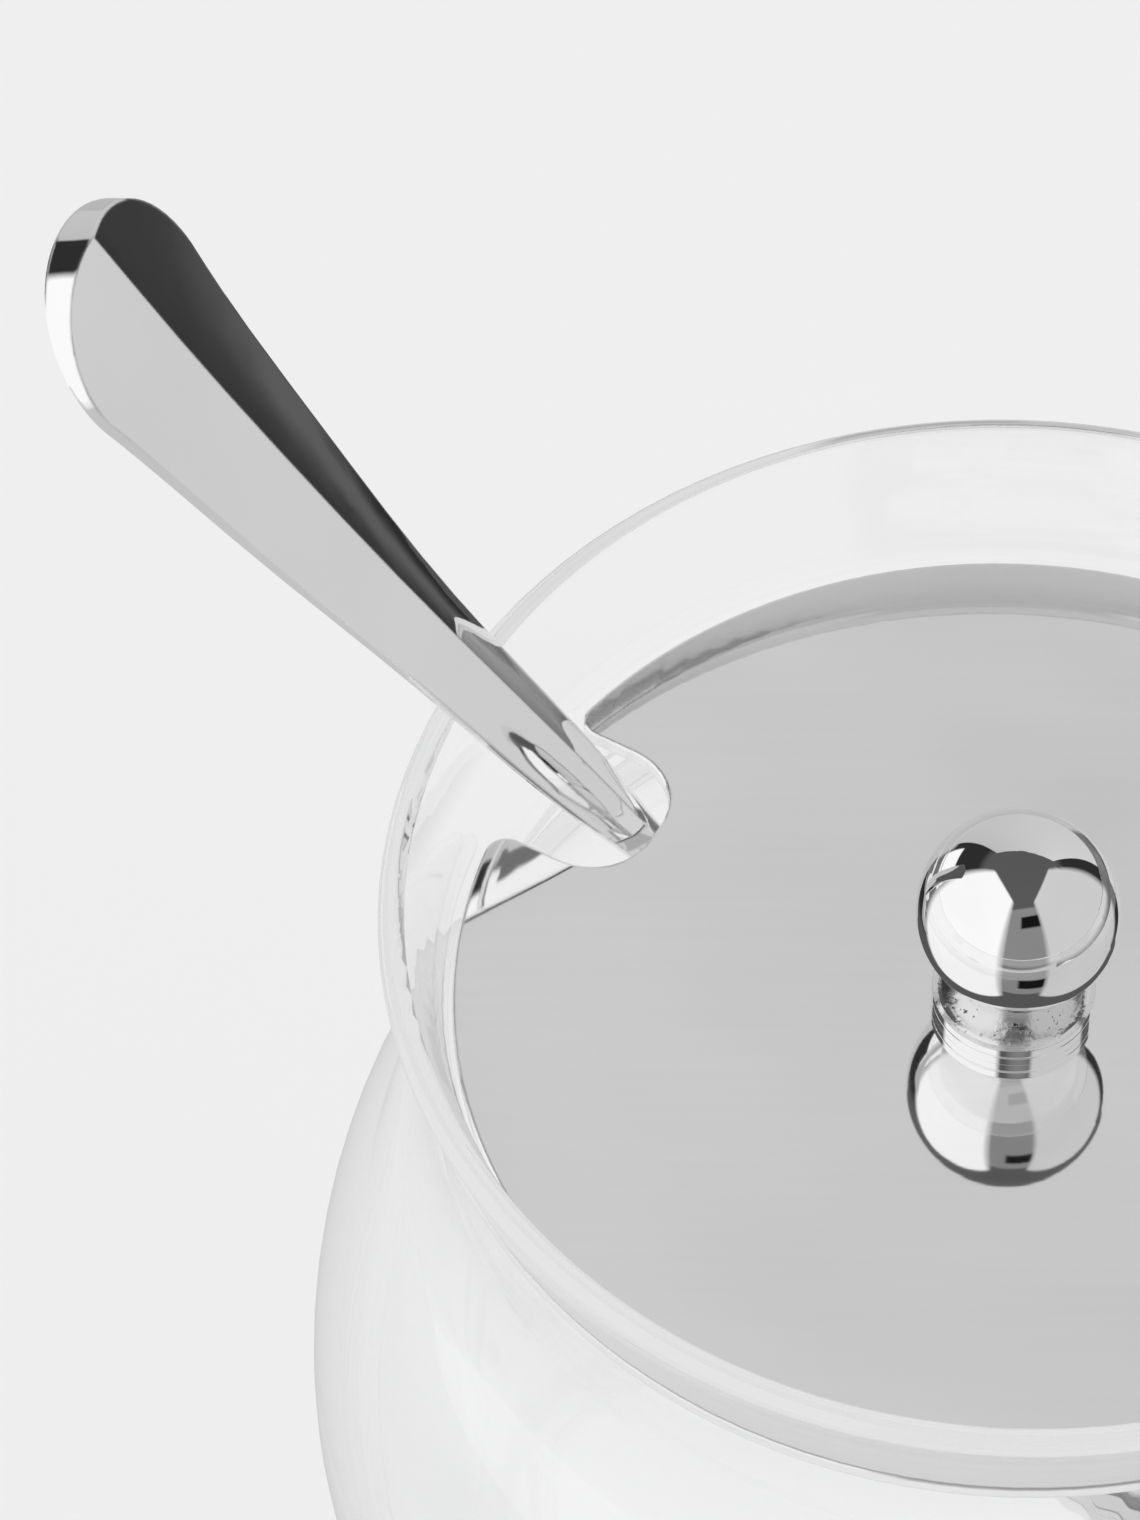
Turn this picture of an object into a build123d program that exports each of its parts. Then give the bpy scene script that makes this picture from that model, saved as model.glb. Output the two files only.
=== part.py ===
from build123d import *
from math import asin, atan2, cos, hypot, radians, sin, sqrt, tan
import os

# A glass jam pot with a loose metal lid and a spoon that stands through the lid's notch.
# Millimetres. +Z is up, the origin is the centre of the foot that the pot stands on.
# The notch opens towards -X.

# Glass pot, outer sizes
pot_height = 91.2
neck_radius = 42.85
rim_flare = 3.65
neck_height = 72.0
belly_radius = 52.2
belly_height = 34.0
shoulder_share = 0.73
foot_radius = 34.0
foot_round = 3.0
wall = 2.0
base_thickness = 5.0
floor_round = 8.0

# Lid plate
lid_top = 80.0
lid_thickness = 1.2
lid_clearance = 0.15
lid_edge_break = 0.15
notch_depth = 10.85
notch_width = 11.4
notch_inner_round = 5.0
notch_mouth_round = 1.7

# Knob on the lid
ball_radius = 7.5
ball_height = 11.0
knob_neck_radius = 3.4
knob_foot_radius = 6.0
knob_foot_edge = 1.7
knob_foot_land = 0.4
spigot_radius = 2.2
spigot_gap = 0.3
screw_radius = 1.5
screw_reach = 7.0
screw_head_radius = 2.9
screw_head_height = 1.5
screw_slot_width = 0.8
screw_slot_depth = 0.7
washer_radius = 4.0
washer_thickness = 0.6
running_clearance = 0.05

# Spoon, with stations counted along its axis from the lid's top, positive towards the handle's tip
# and levels counted along its face, positive towards the front
spoon_clearance = 0.25
spoon_turn = 13.6
spoon_offset = 0.75
stem_half_width = 2.1
stem_thickness = 2.3
stem_drop = 1.0
stem_edge = 0.3
stem_top_station = -8.0
stem_foot_station = -42.0
heel_half_width = 3.6
heel_lap = 3.0
front_level = 1.95
waist_station = -1.0
waist_half_width = 2.55
waist_drop = 1.15
waist_crown = 0.6
shoulder_station = 6.0
shoulder_half_width = 3.45
shoulder_drop = 1.45
shoulder_edge = 0.4
shoulder_crown = 0.5
handle_station = 55.4
handle_half_width = 9.1
handle_flare = 1.4
handle_low_station = 26.0
handle_low_level = 1.6
handle_bow = 370.0
handle_drop = 1.7
handle_edge = 0.9
handle_crown = 0.3
handle_sections = 4
end_fall = 0.8
ridge_slope = 10.0
side_draft = 12.0
bowl_heel_length = 20.0
bowl_tip_length = 26.0
bowl_width = 27.0
bowl_depth = 8.0
bowl_wall = 1.3
bowl_rim_level = 0.6

os.makedirs("parts", exist_ok=True)


def finish(builder, name):
    """Label a finished piece and write it to its own STEP file."""
    builder.part.label = name
    export_step(builder.part, f"parts/{name}.step")


def bow_radius(reach, sag):
    """Radius of the arc that leaves a tangent line by sag over reach."""
    return (reach**2 + sag**2) / (2 * sag)


def toward(centre, point, change):
    """The point moved away from the centre of its arc by change, or nearer where negative."""
    dx, dz = point[0] - centre[0], point[1] - centre[1]
    scale = (hypot(dx, dz) + change) / hypot(dx, dz)
    return (centre[0] + dx * scale, centre[1] + dz * scale)


# The collar's arc stands upright at the neck and ends in a round lip. Below the neck one arc turns
# back out to the shoulder, and the shoulder and the lower belly stand upright at the belly.
lip_centre = (neck_radius + rim_flare - wall / 2, pot_height - wall / 2)
collar_bow = bow_radius(lip_centre[1] - neck_height, rim_flare)
collar_centre = (neck_radius - wall / 2 + collar_bow, neck_height)
shoulder_fall = neck_height - belly_height
shoulder_out = belly_radius - neck_radius
both_bows = (shoulder_fall**2 + shoulder_out**2) / (2 * shoulder_out)
shoulder_bow = shoulder_share * both_bows
neck_bow = both_bows - shoulder_bow
shoulder_centre = (belly_radius - shoulder_bow, belly_height)
neck_centre = (neck_radius + neck_bow, neck_height)
foot_in = belly_radius - foot_radius
lower_fall = belly_height - foot_round
lower_bow = (foot_in**2 + lower_fall**2 - foot_round**2) / (2 * (foot_in - foot_round))
lower_centre = (belly_radius - lower_bow, belly_height)

rim_outer = toward(collar_centre, lip_centre, -wall / 2)
neck_outer = (neck_radius, neck_height)
belly_outer = (belly_radius, belly_height)
turn_angle = atan2(shoulder_fall, neck_centre[0] - shoulder_centre[0])
turn_outer = (
    shoulder_centre[0] + shoulder_bow * cos(turn_angle),
    shoulder_centre[1] + shoulder_bow * sin(turn_angle),
)
foot_outer = toward(lower_centre, (foot_radius, foot_round), foot_round)

# The inner wall follows the outer one, one wall inwards, down to a rounded flat floor.
rim_inner = toward(collar_centre, lip_centre, wall / 2)
neck_inner = (neck_radius - wall, neck_height)
turn_inner = toward(shoulder_centre, turn_outer, -wall)
belly_inner = (belly_radius - wall, belly_height)
floor_rise = belly_height - base_thickness - floor_round
floor_radius = lower_centre[0] + sqrt((lower_bow - wall - floor_round) ** 2 - floor_rise**2)
floor_centre = (floor_radius, base_thickness + floor_round)
floor_inner = toward(lower_centre, floor_centre, floor_round)

with BuildPart() as glass_pot:
    with BuildSketch(Plane.XZ):
        with BuildLine():
            Line((0, 0), (foot_radius, 0))
            TangentArc((foot_radius, 0), foot_outer, tangent=(1, 0))
            TangentArc(belly_outer, foot_outer, tangent=(0, -1))
            shoulder = TangentArc(belly_outer, turn_outer, tangent=(0, 1))
            TangentArc(turn_outer, neck_outer, tangent=shoulder % 1)
            collar = TangentArc(neck_outer, rim_outer, tangent=(0, 1))
            TangentArc(rim_outer, rim_inner, tangent=collar % 1)
            TangentArc(neck_inner, rim_inner, tangent=(0, 1))
            neck = TangentArc(neck_inner, turn_inner, tangent=(0, -1))
            TangentArc(turn_inner, belly_inner, tangent=neck % 1)
            TangentArc(belly_inner, floor_inner, tangent=(0, -1))
            TangentArc((floor_radius, base_thickness), floor_inner, tangent=(1, 0))
            Polyline((floor_radius, base_thickness), (0, base_thickness), (0, 0))
        make_face()
    revolve(axis=Axis.Z)
finish(glass_pot, "glass_pot")

# The lid drops into the flared collar until the glass is as narrow as the plate.
lid_bottom = lid_top - lid_thickness
seat_rise = lid_bottom - neck_height
seat_radius = collar_centre[0] - sqrt((collar_bow + wall / 2) ** 2 - seat_rise**2)
lid_radius = seat_radius - lid_clearance
notch_wall = lid_radius - notch_depth

with BuildPart() as lid_plate:
    with BuildSketch(Plane.XY.offset(lid_bottom)) as plate:
        Circle(lid_radius)
        with Locations((-notch_wall, 0)):
            Rectangle(2 * notch_depth, notch_width, align=(Align.MAX, Align.CENTER), mode=Mode.SUBTRACT)
        corners = plate.vertices().filter_by(lambda v: v.Y != 0).sort_by(Axis.X)
        fillet(corners.filter_by(lambda v: abs(v.X + notch_wall) < notch_depth / 2), notch_inner_round)
        corners = plate.vertices().sort_by(Axis.X)
        fillet(corners[:2], notch_mouth_round)
    extrude(amount=lid_thickness)
    top = lid_plate.faces().sort_by(Axis.Z)[-1]
    chamfer(top.outer_wire().edges(), lid_edge_break)
    Hole(screw_radius + running_clearance)
finish(lid_plate, "lid_plate")

# The ball is ground flat where its sphere is as narrow as the neck of the knob's foot.
neck_top = lid_top + ball_height - sqrt(ball_radius**2 - knob_neck_radius**2)
bore_radius = spigot_radius + running_clearance
cove_start = (knob_foot_radius - knob_foot_land, lid_top + knob_foot_edge)

with BuildPart() as knob_foot:
    with BuildSketch(Plane.XZ):
        with BuildLine():
            Polyline(
                (knob_neck_radius, neck_top),
                (bore_radius, neck_top),
                (bore_radius, lid_top),
                (knob_foot_radius, lid_top),
                (knob_foot_radius, lid_top + knob_foot_edge),
                cove_start,
            )
            TangentArc((knob_neck_radius, neck_top), cove_start, tangent=(0, -1))
        make_face()
    revolve(axis=Axis.Z)
finish(knob_foot, "knob_foot")

with BuildPart() as knob_ball:
    with Locations((0, 0, lid_top + ball_height)):
        Sphere(ball_radius)
    split(bisect_by=Plane.XY.offset(neck_top), keep=Keep.TOP)
    with BuildSketch(Plane.XY.offset(lid_top + spigot_gap)):
        Circle(spigot_radius)
    extrude(until=Until.NEXT)
    with BuildSketch(Plane.XY.offset(lid_top + spigot_gap)):
        Circle(screw_radius + running_clearance)
    extrude(amount=screw_reach, mode=Mode.SUBTRACT)
finish(knob_ball, "knob_ball")

washer_bottom = lid_bottom - washer_thickness
with BuildPart() as knob_washer:
    with BuildSketch(Plane.XY.offset(washer_bottom)):
        Circle(washer_radius)
        Circle(screw_radius + running_clearance, mode=Mode.SUBTRACT)
    extrude(amount=washer_thickness)
finish(knob_washer, "knob_washer")

with BuildPart() as knob_screw:
    with BuildSketch(Plane.XY.offset(washer_bottom - screw_head_height)):
        Circle(screw_head_radius)
    extrude(amount=screw_head_height)
    with BuildSketch(Plane.XY.offset(washer_bottom)):
        Circle(screw_radius)
    extrude(amount=lid_top + screw_reach - washer_bottom)
    with BuildSketch(Plane.XY.offset(washer_bottom - screw_head_height)):
        Rectangle(2 * screw_head_radius, screw_slot_width)
    extrude(amount=screw_slot_depth, mode=Mode.SUBTRACT)
finish(knob_screw, "knob_screw")


def handle_level(station):
    """The ridge's level on the handle, which bows gently towards its tip."""
    return handle_low_level + (station - handle_low_station) ** 2 / (2 * handle_bow)


def handle_share(station):
    """How far a station lies along the handle, 0 at its shoulder and 1 where its end begins."""
    return (station - shoulder_station) / (handle_station - shoulder_station)


def handle_width(station):
    """Half the handle's width, which flares from its shoulder towards its tip."""
    flared = handle_share(station) ** handle_flare
    return shoulder_half_width + (handle_half_width - shoulder_half_width) * flared


def handle_side(station):
    """Height of the handle's side below its front, which grows towards its tip."""
    return shoulder_edge + (handle_edge - shoulder_edge) * handle_share(station)


# The spoon passes under the notch's lower edge and over the rounded rim, a clearance off both.
# Its upright plane crosses the notch's wall beside the middle and is turned to one side.
turn = radians(spoon_turn)
wall_out = notch_wall * cos(turn) - spoon_offset * sin(turn)
wall_aside = notch_wall * sin(turn) + spoon_offset * cos(turn)
span_up = lip_centre[1] - lid_bottom
rest_station = hypot(lip_centre[0] - notch_wall, span_up)
rest_level = handle_level(rest_station) - handle_drop - handle_side(rest_station)
span_out = sqrt(lip_centre[0] ** 2 - (wall_aside + handle_width(rest_station)) ** 2) - wall_out
packing = front_level - rest_level + wall / 2 + 2 * spoon_clearance
spoon_lean = atan2(span_up, span_out) + asin(packing / hypot(span_out, span_up))
axis_out = (front_level + spoon_clearance) / sin(spoon_lean) + lid_thickness / tan(spoon_lean)
spoon_axis = Vector(-cos(spoon_lean) * cos(turn), -cos(spoon_lean) * sin(turn), sin(spoon_lean))
spoon_face = Vector(sin(spoon_lean) * cos(turn), sin(spoon_lean) * sin(turn), cos(spoon_lean))
spoon_frame = Plane(
    origin=(-notch_wall - axis_out * cos(turn), spoon_offset - axis_out * sin(turn), lid_top),
    x_dir=spoon_axis,
    z_dir=spoon_face,
)

# The bowl's tip stands just off the floor, and is lifted where it reaches into the floor's round.
tip_out = (lid_top - base_thickness) / tan(spoon_lean) - axis_out
tip_reach = hypot(tip_out * cos(turn) - notch_wall, tip_out * sin(turn) + spoon_offset)
round_reach = min(max(tip_reach - floor_radius, 0), floor_round)
tip_lift = floor_round - sqrt(floor_round**2 - round_reach**2)
tip_height = base_thickness + spoon_clearance + tip_lift
bowl_tip = -(lid_top - tip_height + bowl_rim_level * cos(spoon_lean)) / sin(spoon_lean)
bowl_middle = bowl_tip + bowl_tip_length
bowl_heel = bowl_middle + bowl_heel_length


def across(station, level):
    """A plane square to the spoon's axis, its x across the spoon and its y towards the front."""
    origin = spoon_frame.from_local_coords((station, 0, level))
    return Plane(origin=origin, x_dir=spoon_frame.y_dir, z_dir=spoon_frame.x_dir)


def section(plane, half_width, drop, edge, crown):
    """A front that falls from its ridge in two arcs, drafted sides and a crowned back."""
    edge_foot = -drop - edge
    edge_out = half_width - edge * tan(radians(side_draft))
    fall = tan(radians(ridge_slope))
    with BuildSketch(plane) as outline:
        with BuildLine():
            TangentArc((0, 0), (edge_out, -drop), tangent=(1, -fall))
            Line((edge_out, -drop), (half_width, edge_foot))
            ThreePointArc((half_width, edge_foot), (0, edge_foot - crown), (-half_width, edge_foot))
            Line((-half_width, edge_foot), (-edge_out, -drop))
            TangentArc((0, 0), (-edge_out, -drop), tangent=(-1, -fall))
        make_face()
    return outline.sketch


def stem_section(station, level, half_width):
    """A section of the stem, whose back is crowned to the stem's thickness."""
    crown = stem_thickness - stem_drop - stem_edge
    return section(across(station, level), half_width, stem_drop, stem_edge, crown)


def handle_section(station, fall=0):
    """A section of the handle, whose front lies lower at its sides by fall."""
    plane = across(station, handle_level(station))
    side = handle_side(station) - fall
    return section(plane, handle_width(station), handle_drop + fall, side, handle_crown)


# The handle's round end has the same draft as its sides and is tangent to them.
end_slope = handle_flare * (handle_half_width - shoulder_half_width) / (handle_station - shoulder_station)
end_radius = handle_half_width * hypot(1, end_slope)
end_reach = handle_half_width * end_slope
end_tip = handle_station + end_reach + end_radius
end_tilt = (handle_station - handle_low_station) / handle_bow
handle_depth = handle_drop + handle_edge
foot_level = handle_level(handle_station) - handle_depth
end_plane = Plane(
    origin=spoon_frame.from_local_coords((handle_station + end_reach, 0, foot_level + end_reach * end_tilt)),
    x_dir=spoon_axis + spoon_face * end_tilt,
    z_dir=spoon_face - spoon_axis * end_tilt,
)

with BuildPart() as end_shape:
    with BuildSketch(end_plane.offset(-handle_depth)):
        Circle(end_radius + handle_depth * tan(radians(side_draft)))
    extrude(amount=3 * handle_depth, taper=side_draft)
    with BuildSketch(across(handle_station, foot_level)):
        Rectangle(4 * end_radius, 4 * end_radius)
    extrude(amount=-2 * handle_station)

# The bowl is the lower part of a body turned about an axis above its rim.
bowl_turn = bow_radius(bowl_width / 2, bowl_depth)
axis_height = bowl_turn - bowl_depth
heel_bow = bow_radius(bowl_heel_length, bowl_depth)
tip_bow = bow_radius(bowl_tip_length, bowl_depth)
rim_plane = Plane(
    origin=spoon_frame.from_local_coords((bowl_middle, 0, bowl_rim_level)),
    x_dir=spoon_axis,
    z_dir=spoon_face,
)
bowl_plane = Plane(
    origin=spoon_frame.from_local_coords((bowl_middle, 0, bowl_rim_level + axis_height)),
    x_dir=spoon_axis,
    z_dir=-spoon_frame.y_dir,
)
bowl_axis = Axis(bowl_plane.origin, bowl_plane.x_dir)


def bowl_profile(inset):
    """Half the bowl's long section, from its turning axis to its skin moved in by inset."""
    heel = sqrt((heel_bow - inset) ** 2 - (heel_bow - bowl_depth) ** 2)
    tip = sqrt((tip_bow - inset) ** 2 - (tip_bow - bowl_depth) ** 2)
    deepest = (0, inset - bowl_turn)
    with BuildSketch(bowl_plane) as outline:
        with BuildLine():
            TangentArc(deepest, (heel, -axis_height), tangent=(1, 0))
            Polyline((heel, -axis_height), (heel, 0), (-tip, 0), (-tip, -axis_height))
            TangentArc(deepest, (-tip, -axis_height), tangent=(-1, 0))
        make_face()
    return outline.sketch


with BuildPart() as bowl:
    revolve(bowl_profile(0), axis=bowl_axis)
    revolve(bowl_profile(bowl_wall), axis=bowl_axis, mode=Mode.SUBTRACT)
    split(bisect_by=rim_plane, keep=Keep.BOTTOM)

# The handle is lofted from the stem through its shoulder to its end, and the stem's foot spreads
# into the bowl's heel.
waist_plane = across(waist_station, front_level)
shoulder_plane = across(shoulder_station, front_level)
waist = section(waist_plane, waist_half_width, waist_drop, stem_edge, waist_crown)
shoulder = section(shoulder_plane, shoulder_half_width, shoulder_drop, shoulder_edge, shoulder_crown)
handle_step = (handle_station - shoulder_station) / handle_sections
flare_sections = [handle_section(shoulder_station + handle_step * n) for n in range(1, handle_sections + 1)]
end_section = handle_section(end_tip + handle_edge, end_fall)
stem_top = stem_section(stem_top_station, front_level, stem_half_width)
stem_foot = stem_section(stem_foot_station, front_level, stem_half_width)
stem_heel = stem_section(bowl_heel - heel_lap, bowl_rim_level + heel_lap / 4, heel_half_width)

with BuildPart() as handle:
    loft([stem_top, waist, shoulder, *flare_sections, end_section])
    add(end_shape.part, mode=Mode.INTERSECT)

with BuildPart() as spoon:
    loft([stem_heel, stem_foot])
    revolve(bowl_profile(bowl_wall), axis=bowl_axis, mode=Mode.SUBTRACT)
    add(bowl.part)
    loft([stem_foot, stem_top])
    add(handle.part)
finish(spoon, "spoon")
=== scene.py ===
from math import cos, pi, radians, sin, tan

import bpy
from mathutils import Matrix, Vector


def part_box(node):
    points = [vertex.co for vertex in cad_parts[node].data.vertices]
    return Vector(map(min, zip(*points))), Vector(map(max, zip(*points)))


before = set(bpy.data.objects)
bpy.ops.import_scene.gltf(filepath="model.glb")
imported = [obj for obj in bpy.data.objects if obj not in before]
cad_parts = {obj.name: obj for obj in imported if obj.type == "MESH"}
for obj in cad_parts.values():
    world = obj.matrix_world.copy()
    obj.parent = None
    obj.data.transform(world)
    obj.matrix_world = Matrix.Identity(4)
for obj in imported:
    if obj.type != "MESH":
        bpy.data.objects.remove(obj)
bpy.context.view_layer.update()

scene = bpy.context.scene
scene.view_settings.view_transform = "Standard"

# The camera looks down at the lid from the front, turned so that the notch and the spoon lie at the
# far left, through a long lens that crops the pot's lower half.
lid_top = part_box("lid_plate")[1].z
look_down = radians(52.48)
look_turn = radians(30)
look_roll = radians(0.29)
eye_aside, eye_back, eye_above = -0.0326, -0.3888, 0.5349
film_height = 36
lens_length = 213.2
nearest_seen = 0.01

right = Vector((1, 0, 0))
up = Vector((0, sin(look_down), cos(look_down)))
right, up = right * cos(look_roll) + up * sin(look_roll), up * cos(look_roll) - right * sin(look_roll)
turned = Matrix.Rotation(look_turn, 3, "Z")
right, up = turned @ right, turned @ up
eye = turned @ Vector((eye_aside, eye_back, eye_above)) + Vector((0, 0, lid_top))
camera = bpy.data.objects.new("camera", bpy.data.cameras.new("camera"))
camera.matrix_world = Matrix.Translation(eye) @ Matrix((right, up, right.cross(up))).transposed().to_4x4()
camera.data.sensor_fit = "VERTICAL"
camera.data.sensor_height = film_height
camera.data.lens = lens_length
camera.data.clip_start = nearest_seen
scene.collection.objects.link(camera)
scene.camera = camera


# The studio is a tent of three upright pale panels, left, right and behind, under a dim ceiling. A
# dimmer panel, a strip of floor and a dark lens stand in front. They light the pot and show in its
# metal and glass, and the camera itself sees an even pale backdrop.
class Wire:
    """A socket in a shader. Sums, products and quotients with it add their Math nodes."""

    def __init__(self, shader, socket):
        self.shader, self.socket = shader, socket

    def __add__(self, other):
        return self.shader.math("ADD", self, other)

    def __sub__(self, other):
        return self.shader.math("SUBTRACT", self, other)

    def __mul__(self, other):
        return self.shader.math("MULTIPLY", self, other)

    def __truediv__(self, other):
        return self.shader.math("DIVIDE", self, other)

    def __radd__(self, other):
        return self.shader.math("ADD", other, self)

    def __rsub__(self, other):
        return self.shader.math("SUBTRACT", other, self)

    def __rmul__(self, other):
        return self.shader.math("MULTIPLY", other, self)


class Shader:
    """The nodes of one material or of the world."""

    def __init__(self, owner):
        owner.use_nodes = True
        self.tree = owner.node_tree
        self.tree.nodes.clear()

    def feed(self, socket, value):
        """A socket takes a link or a plain value."""
        if isinstance(value, Wire):
            self.tree.links.new(value.socket, socket)
        else:
            socket.default_value = value

    def node(self, kind, settings=(), sockets=(), out=0):
        """Any node: its type, its settings, then its sockets by name or place, and which output is used."""
        made = self.tree.nodes.new(kind)
        for name, value in dict(settings).items():
            setattr(made, name, value)
        for name, value in dict(sockets).items():
            self.feed(made.inputs[name], value)
        return Wire(self, made.outputs[out]) if made.outputs else made

    def math(self, operation, *values, clamp=False):
        """A Math node on two or three numbers."""
        settings = {"operation": operation, "use_clamp": clamp}
        return self.node("ShaderNodeMath", settings, dict(enumerate(values)))

    def along(self, vector, direction):
        """How far a vector reaches along a direction."""
        return self.node(
            "ShaderNodeVectorMath", {"operation": "DOT_PRODUCT"}, {0: vector, 1: direction}, "Value"
        )

    def ramp(self, value, none, full):
        """0 at none and 1 at full, straight in between and level beyond, whichever of the two is larger."""
        return self.math("MULTIPLY_ADD", value, 1 / (full - none), -none / (full - none), clamp=True)


def mix(start, end, share):
    """A number that goes from start to end as share goes from 0 to 1."""
    return start + (end - start) * share


def light_path(shader, *outputs):
    """What is known of the ray that looks at a point: its kind, or how often it has turned so far."""
    return [shader.node("ShaderNodeLightPath", out=output) for output in outputs]


left_tone = 1.04
right_tone = 0.656
back_tone = 0.624
back_fall = 0.08
back_floor_tone = 0.5
front_tone = 0.264
front_floor_tone = 0.56
lens_tone = 0.008
corner_tone = 0.112
ceiling_tone = 0.104
ceiling_start, ceiling_full = 0.65, 0.75
gap_and_shade_tone = 0.028
shortest_reach = 0.001
# How much of the backdrop shows through glass, how much of that is lost to a ray that has been mirrored
# before, and how much is left for one that has been mirrored too often to be followed.
backdrop_tone = 0.863
backdrop_through = 0.8
backdrop_lost = 0.85
backdrop_trapped = 0.52
most_mirrorings = 2

scene.world = bpy.data.worlds.new("studio")
sky = Shader(scene.world)
ray = sky.node("ShaderNodeTexCoord", out="Generated")


def panel(facing, half_width, foot, top, soft):
    """How fully a ray meets a flat upright panel far off, from 0 to 1, and how far from its middle.

    Its angles are in degrees as the pot sees them, and facing counts round from the camera's right.
    """
    toward = look_turn + radians(facing)
    side, head, base = (tan(radians(angle)) for angle in (half_width, top, foot))
    reach = sky.math("MAXIMUM", sky.along(ray, (cos(toward), sin(toward), 0)), shortest_reach)
    aside = sky.along(ray, (-sin(toward), cos(toward), 0)) / reach
    above = sky.along(ray, (0, 0, 1)) / reach
    in_width = sky.ramp(sky.math("ABSOLUTE", aside), side + soft, side)
    in_height = sky.ramp(above, head + soft, head) * sky.ramp(above, base - soft, base)
    return in_width * in_height, aside


left, _ = panel(facing=204, half_width=42, foot=-50, top=68, soft=0.3)
left_low, _ = panel(facing=143, half_width=12, foot=-10, top=11, soft=0.03)
right_side, _ = panel(facing=-19, half_width=41, foot=-14, top=66, soft=0.2)
right_corner, _ = panel(facing=45, half_width=2, foot=-18, top=-15, soft=0.14)
back, back_aside = panel(facing=81, half_width=43, foot=-8, top=58, soft=0.02)
back_floor, _ = panel(facing=96, half_width=30, foot=-75, top=-6, soft=0.1)
front, _ = panel(facing=-80, half_width=28, foot=-12, top=54, soft=0.1)
front_floor, _ = panel(facing=-90, half_width=34, foot=-28, top=-19, soft=0.05)
lens, _ = panel(facing=-77, half_width=12, foot=34, top=45, soft=0.06)
overhead = sky.ramp(sky.along(ray, (0, 0, 1)), ceiling_start, ceiling_full)

tone = mix(gap_and_shade_tone, ceiling_tone, overhead)
tone = mix(tone, corner_tone, right_corner)
tone = mix(tone, front_tone, front)
tone = mix(tone, front_floor_tone, front_floor)
tone = mix(tone, lens_tone, lens)
tone = mix(tone, back_floor_tone, back_floor)
tone = mix(tone, back_tone - back_aside * back_fall, back)
tone = mix(tone, right_tone, right_side)
tone = mix(tone, left_tone, sky.math("MAXIMUM", left, left_low))

camera_ray, through_ray, mirrorings = light_path(sky, "Is Camera Ray", "Is Transmission Ray", "Glossy Depth")
mirrored = sky.math("MINIMUM", mirrorings, 1)
trapped = sky.math("GREATER_THAN", mirrorings, most_mirrorings)
through = through_ray * backdrop_through * (1 - mirrored * backdrop_lost)
seen = sky.math("MAXIMUM", camera_ray, sky.math("MAXIMUM", through, trapped * backdrop_trapped))
strength = mix(tone, backdrop_tone, seen)
light = sky.node("ShaderNodeBackground", {}, {"Color": (1, 1, 1, 1), "Strength": strength})
sky.node("ShaderNodeOutputWorld", {}, {"Surface": light})


# The pot stands on a sheet of white paper, which keeps its shadow. The paper looks about as bright as
# the backdrop, also through glass. Metal sees it in a painted darker tone, with painted shade
# towards the back right, well inside the sheet's edge.
sheet_reach = 0.2
sheet_paper = 0.85
sheet_glow = 0.85
sheet_tone = 0.94
sheet_through = 0.96
# The paper's tone as metal mirrors it: a painted darker tone that stands in for shade.
sheet_mirrored = 0.62
mirrored_through = 0.8
sheet_trapped = 0.6
# Painted shade on the paper, seen only in metal: towards the back right it darkens to the gap tone.
shade_turn = look_turn + pi / 4
shade_start, shade_full = 0.1, 0.13

sheet_mesh = bpy.data.meshes.new("sheet")
corners = ((-1, -1), (1, -1), (1, 1), (-1, 1))
points = [turned @ Vector((x * sheet_reach, y * sheet_reach, 0)) for x, y in corners]
sheet_mesh.from_pydata(points, [], [(0, 1, 2, 3)])
sheet = bpy.data.objects.new("sheet", sheet_mesh)
scene.collection.objects.link(sheet)

white_paper = bpy.data.materials.new("white_sheet")
shader = Shader(white_paper)
camera_ray, mirror_ray, through_ray, mirrorings = light_path(
    shader, "Is Camera Ray", "Is Glossy Ray", "Is Transmission Ray", "Glossy Depth"
)
seen = shader.math("ADD", camera_ray + mirror_ray, through_ray, clamp=True)
mirrored = shader.math("MINIMUM", mirrorings, 1)
trapped = shader.math("GREATER_THAN", mirrorings, most_mirrorings)
spot = shader.node("ShaderNodeTexCoord", out="Object")
out_right = shader.along(spot, (cos(shade_turn), sin(shade_turn), 0))
shaded = shader.ramp(out_right, shade_start, shade_full)
direct = mix(sheet_tone, sheet_through, through_ray)
# In metal: the painted darker tone, going over into painted shade towards the back right.
in_metal = mix(mix(sheet_mirrored, sheet_through, through_ray * mirrored_through), gap_and_shade_tone, shaded)
strength = mix(direct, in_metal, mirrored * (1 - trapped * sheet_trapped))
matte = shader.node("ShaderNodeBsdfDiffuse", {}, {"Color": (sheet_paper, sheet_paper, sheet_paper, 1)})
glow = shader.node("ShaderNodeEmission", {}, {"Strength": strength})
surface = shader.node("ShaderNodeMixShader", {}, {"Fac": seen * sheet_glow, 1: matte, 2: glow})
shader.node("ShaderNodeOutputMaterial", {}, {"Surface": surface})
sheet_mesh.materials.append(white_paper)


# The pot is clear moulded glass, a flared collar over a narrow neck and a round belly. Its walls
# are gently uneven, as pressed glass is, with a smear left here and there by the cloth.
glass_tint = (0.992, 0.995, 0.994, 1)
glass_bend = 1.48
glass_smear = 0.012
smear_start, smear_full = 0.55, 0.75
wave_depth = 0.0006
wave_strength = 0.06
most_turns = 5


def place(shader):
    """Where a point lies on the piece, in metres."""
    return shader.node("ShaderNodeTexCoord", out="Object")


def cloud(shader, vector, spots, detail):
    """A soft cloudy pattern from 0 to 1, with so many spots to the metre."""
    return shader.node("ShaderNodeTexNoise", {}, {"Vector": vector, "Scale": spots, "Detail": detail})


def dress(piece, material):
    """The piece wears one material all over."""
    piece.data.materials.clear()
    piece.data.materials.append(material)


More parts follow.
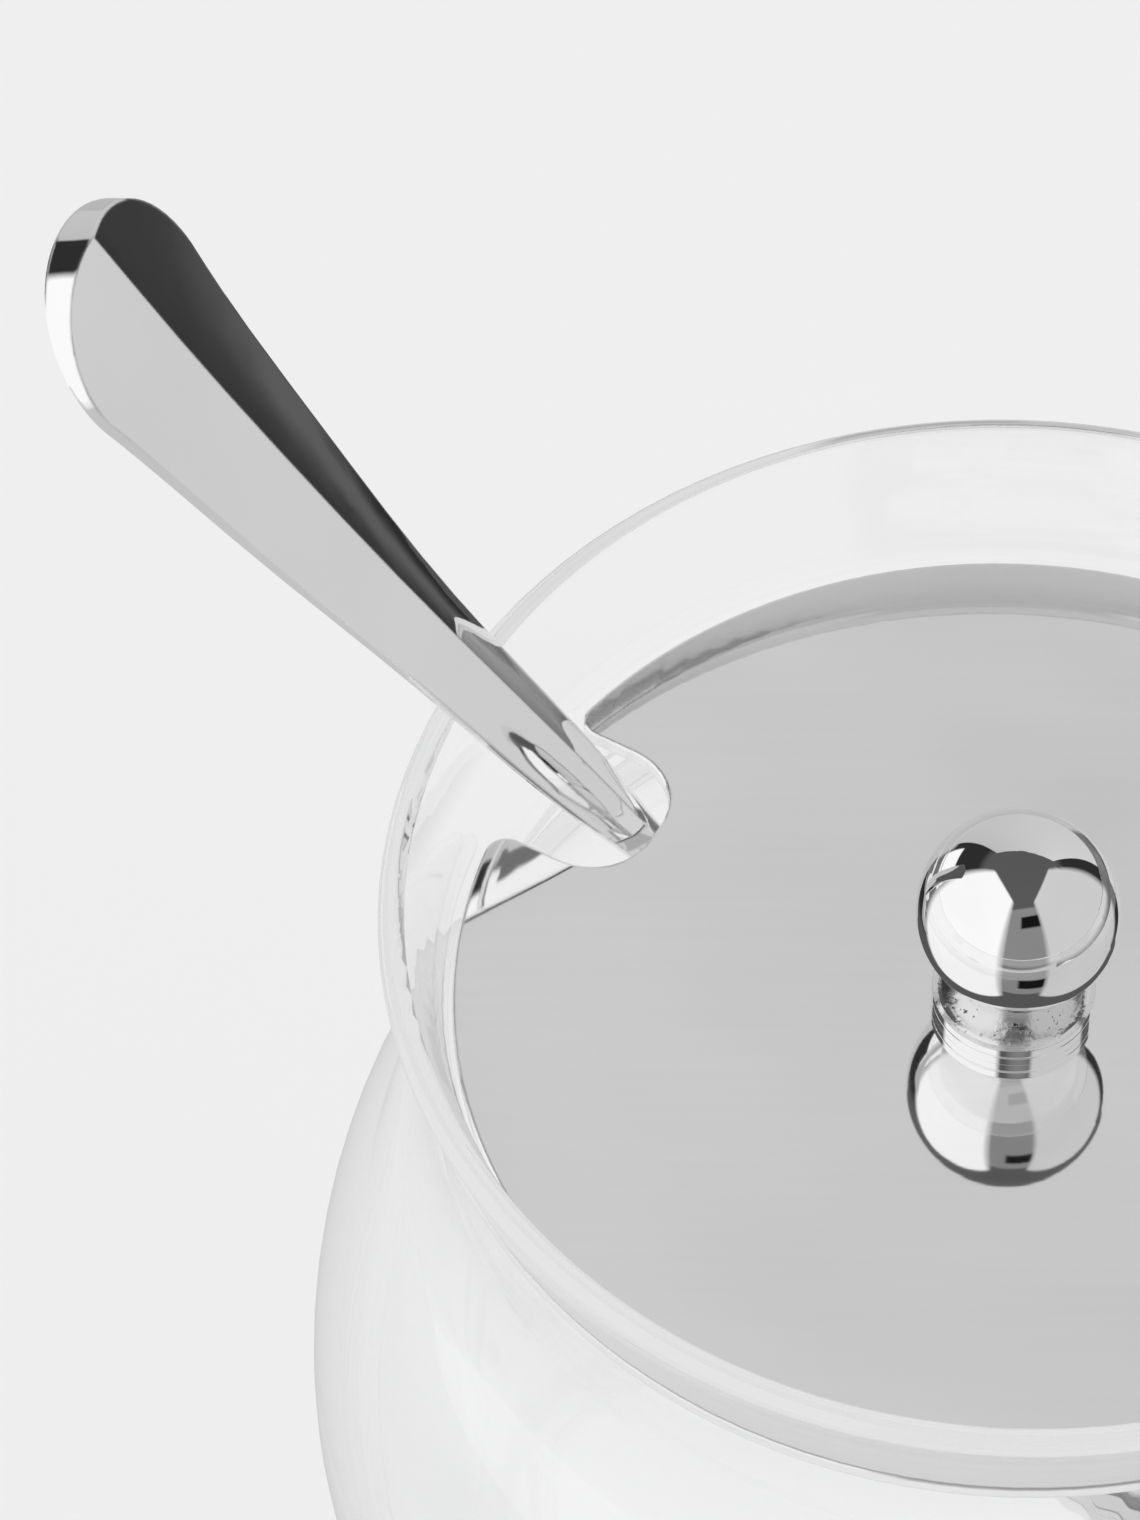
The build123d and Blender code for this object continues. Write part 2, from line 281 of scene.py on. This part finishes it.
clear_glass = bpy.data.materials.new("clear_glass")
shader = Shader(clear_glass)
waves = cloud(shader, place(shader), spots=45.0, detail=1.0)
smear = shader.ramp(cloud(shader, place(shader), spots=110.0, detail=4.0), smear_start, smear_full)
uneven = shader.node(
    "ShaderNodeBump", {}, {"Strength": wave_strength, "Distance": wave_depth, "Height": waves}
)
clear = shader.node(
    "ShaderNodeBsdfPrincipled",
    {},
    {
        "Base Color": glass_tint,
        "Roughness": smear * glass_smear,
        "IOR": glass_bend,
        "Transmission Weight": 1.0,
        "Normal": uneven,
    },
)
# Light that has run round inside the wall for long leaves it straight ahead, as it would after more turns.
turns, mirrorings = light_path(shader, "Ray Depth", "Glossy Depth")
turned_long = shader.math("GREATER_THAN", turns, most_turns)
mirrored_long = shader.math("GREATER_THAN", mirrorings, most_mirrorings)
trapped = shader.math("MAXIMUM", turned_long, mirrored_long)
straight = shader.node("ShaderNodeBsdfTransparent")
surface = shader.node("ShaderNodeMixShader", {}, {"Fac": trapped, 1: clear, 2: straight})
shader.node("ShaderNodeOutputMaterial", {}, {"Surface": surface})
dress(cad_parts["glass_pot"], clear_glass)


# The lid is a flat plate of polished steel that lies in the collar, with a notch for the spoon. Its
# face keeps the long faint grain of the buffing wheel, and its edge is slightly broken.
lid_tones = (0.84, 1.0)
lid_gloss = (0.02, 0.07)
grain_spots = (40, 1100, 40)
haze_spots = (22, 30, 22)
grain_in_haze = 0.1
haze_start, haze_full = 0.25, 0.7
bevel_samples = 6
deepest_relief = 0.0001


def stretched(shader, vector, spots, turn=0.0):
    """The place, turned and then scaled along each of its three directions, so that a pattern streaks."""
    sizes = [1 / count for count in spots]
    return shader.node(
        "ShaderNodeMapping",
        {"vector_type": "TEXTURE"},
        {"Vector": vector, "Scale": sizes, "Rotation": (0, 0, turn)},
    )


def blend(shader, start, end, share):
    """A colour that goes from start to end as share goes from 0 to 1."""
    return shader.node("ShaderNodeMix", {"data_type": "RGBA"}, {0: share, 6: start, 7: end}, 2)


def shade(shader, tones, share):
    """A grey that goes from the first tone to the second as share goes from 0 to 1."""
    first, second = ((tone, tone, tone, 1) for tone in tones)
    return blend(shader, first, second, share)


def metal(shader, colour, roughness, height, strength, edge):
    """A metal surface whose colour, gloss and relief vary. Edge is the radius on its sharp edges."""
    rounded = shader.node("ShaderNodeBevel", {"samples": bevel_samples}, {"Radius": edge})
    relief = shader.node(
        "ShaderNodeBump",
        {},
        {"Strength": strength, "Distance": deepest_relief, "Height": height, "Normal": rounded},
    )
    steel = shader.node(
        "ShaderNodeBsdfPrincipled",
        {},
        {"Base Color": colour, "Metallic": 1.0, "Roughness": roughness, "Normal": relief},
    )
    shader.node("ShaderNodeOutputMaterial", {}, {"Surface": steel})


lid_steel = bpy.data.materials.new("lid_polish")
shader = Shader(lid_steel)
grain = cloud(shader, stretched(shader, place(shader), grain_spots, look_turn), spots=1.0, detail=3.0)
haze = cloud(shader, stretched(shader, place(shader), haze_spots, look_turn), spots=1.0, detail=2.0)
patchy = shader.ramp(mix(haze, grain, grain_in_haze), haze_start, haze_full)
metal(
    shader,
    colour=shade(shader, lid_tones, patchy),
    roughness=mix(*lid_gloss, haze),
    height=grain,
    strength=0.012,
    edge=0.0003,
)
dress(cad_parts["lid_plate"], lid_steel)


# The knob is a ball of polished steel, ground flat below where it meets its foot. It is a mirror,
# with fine hairlines and a trace of touch from handling.
ball_tones = (0.86, 0.95)
ball_gloss = (0.012, 0.042)
hairline_spots = (200, 2400, 500)

ball_steel = bpy.data.materials.new("ball_polish")
shader = Shader(ball_steel)
hairline = cloud(shader, stretched(shader, place(shader), hairline_spots), spots=1.0, detail=2.0)
touch = cloud(shader, place(shader), spots=260.0, detail=3.0)
metal(
    shader,
    colour=shade(shader, ball_tones, touch),
    roughness=mix(*ball_gloss, touch),
    height=hairline,
    strength=0.006,
    edge=0.00004,
)
dress(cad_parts["knob_ball"], ball_steel)


# The ball is brazed to a small turned foot. The foot's edge is polished, with one groove round it,
# and its cove keeps the rough, pitted skin of the brazing.
foot_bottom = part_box("knob_foot")[0].z
cove_start, cove_full = foot_bottom + 0.00165, foot_bottom + 0.00185
groove_level = foot_bottom + 0.00085
groove_brim, groove_bed = 0.00012, 0.00003
groove_depth = 0.8
pit_brim, pit_bed = 0.36, 0.3
pit_depth = 0.4
pit_colour = (0.12, 0.12, 0.12, 1)
skin_tones = (0.9, 0.72)
edge_gloss = 0.03
cove_gloss = (0.12, 0.28)

foot_steel = bpy.data.materials.new("foot_brazed")
shader = Shader(foot_steel)
level = shader.along(place(shader), (0, 0, 1))
in_cove = shader.ramp(level, cove_start, cove_full)
groove = shader.ramp(shader.math("ABSOLUTE", level - groove_level), groove_brim, groove_bed)
lumps = cloud(shader, place(shader), spots=900.0, detail=5.0)
pits = shader.ramp(cloud(shader, place(shader), spots=2600.0, detail=3.0), pit_brim, pit_bed)
metal(
    shader,
    colour=blend(shader, shade(shader, skin_tones, in_cove), pit_colour, pits * in_cove),
    roughness=mix(edge_gloss, mix(*cove_gloss, lumps), in_cove),
    height=(lumps - pits * pit_depth) * in_cove - groove * groove_depth,
    strength=0.8,
    edge=0.00006,
)
dress(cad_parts["knob_foot"], foot_steel)


# A slotted screw through a washer holds the knob from below. Both are plain turned steel, with the
# rings of the lathe on their faces.
turned_tones = (0.5, 0.66)
turned_gloss = (0.22, 0.34)
ring_step = 0.00018
flattened = (1, 1, 1e-6)

screw_steel = bpy.data.materials.new("screw_turned")
shader = Shader(screw_steel)
from_axis = shader.node(
    "ShaderNodeVectorMath",
    {"operation": "LENGTH"},
    {0: stretched(shader, place(shader), flattened)},
    "Value",
)
rings = shader.math("SINE", from_axis * (2 * pi / ring_step)) * 0.5 + 0.5
stain = cloud(shader, place(shader), spots=700.0, detail=4.0)
metal(
    shader,
    colour=shade(shader, turned_tones, stain),
    roughness=mix(*turned_gloss, stain),
    height=rings,
    strength=0.15,
    edge=0.00005,
)
dress(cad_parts["knob_screw"], screw_steel)
dress(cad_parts["knob_washer"], screw_steel)


# The spoon is one forging of polished steel, with a ridged handle that stands out of the notch
# and a bowl that reaches almost to the pot's floor. Buffing leaves faint streaks along it.
spoon_tones = (0.88, 0.95)
spoon_gloss = (0.015, 0.045)
streak_spots = (240, 900, 160)

spoon_steel = bpy.data.materials.new("spoon_polish")
shader = Shader(spoon_steel)
streaks = cloud(shader, stretched(shader, place(shader), streak_spots), spots=1.0, detail=3.0)
bloom = cloud(shader, place(shader), spots=70.0, detail=2.0)
metal(
    shader,
    colour=shade(shader, spoon_tones, bloom),
    roughness=mix(*spoon_gloss, streaks),
    height=streaks,
    strength=0.01,
    edge=0.0004,
)
dress(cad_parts["spoon"], spoon_steel)
